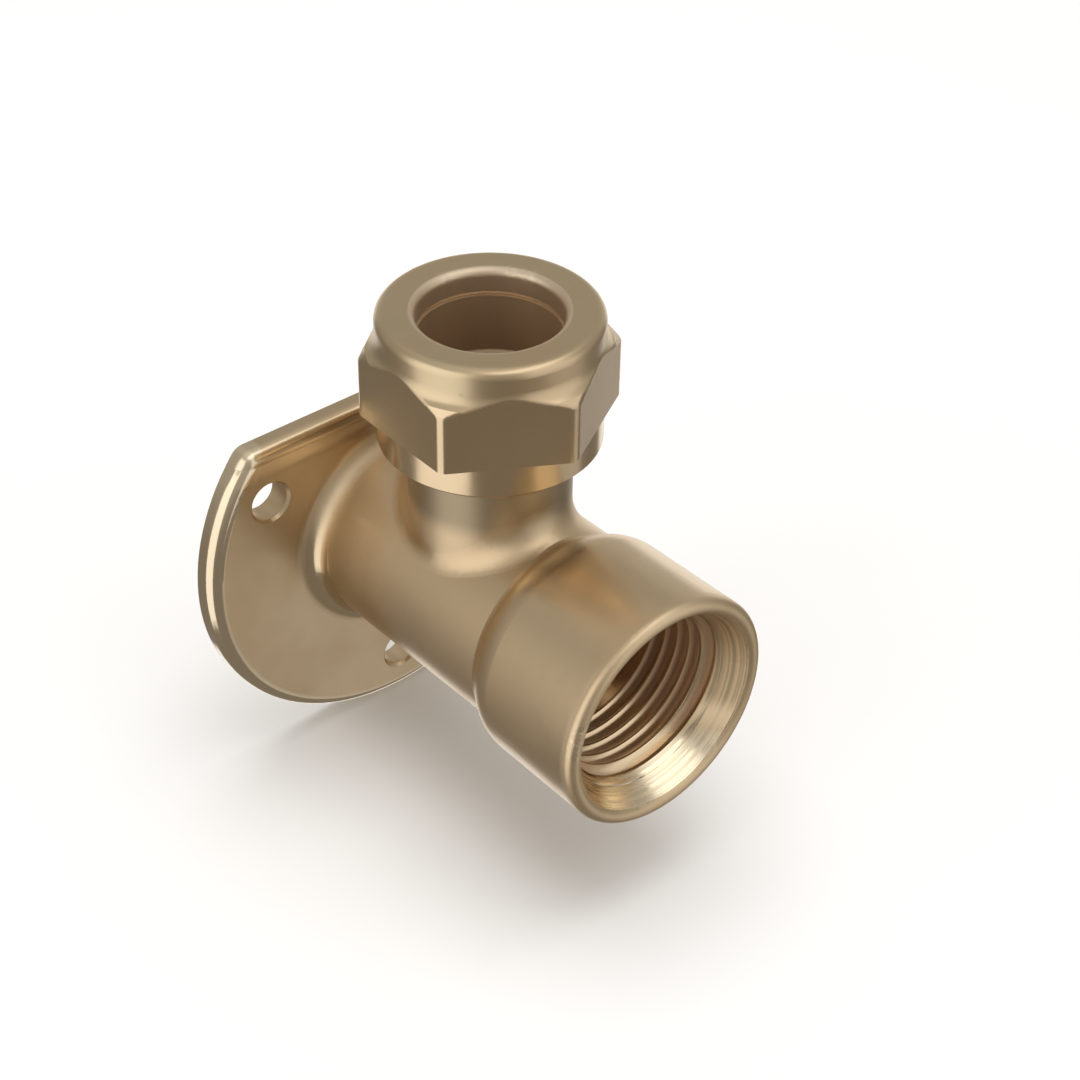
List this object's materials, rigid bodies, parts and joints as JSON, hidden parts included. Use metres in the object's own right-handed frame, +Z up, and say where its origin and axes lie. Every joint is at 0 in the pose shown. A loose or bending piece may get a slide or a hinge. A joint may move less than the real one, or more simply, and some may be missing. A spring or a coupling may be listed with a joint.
{
  "type": "wall plate elbow",
  "caption": "Brass pipe elbow on a D-shaped screw-down wall plate, with a threaded socket facing the room and a compression nut on its upright branch.",
  "frame": {"origin": "the wall plate's back face, on the axis of the barrel and socket", "axes": "+Y into the wall, -Y out of the socket's mouth, +Z up along the branch, X along the plate's flat top"},
  "size_m": [0.051, 0.0482, 0.0611],
  "materials": {
    "cast_brass": "satin, lightly tumbled casting",
    "turned_brass": "satin, turned from bar",
    "soft_brass": "bright, turned"
  },
  "bodies": {
    "fitting": {"body": "cast_brass"},
    "ring": {"olive": "soft_brass"},
    "nut": {"compression_nut": "turned_brass"}
  },
  "joints": [
    {"name": "nut_turn", "type": "hinge", "parent": "fitting", "child": "ring", "pos_m": [0, -0.0195, 0.027], "axis": [0, 0, 1], "range_deg": [0, 1260]},
    {"name": "nut_travel", "type": "slide", "parent": "ring", "child": "nut", "axis": [0, 0, 1], "range_m": [0, 0.00635]}
  ],
  "couplings": [
    {"joint": "nut_travel", "follows": "nut_turn", "m_per_rad": 0.00028875}
  ]
}
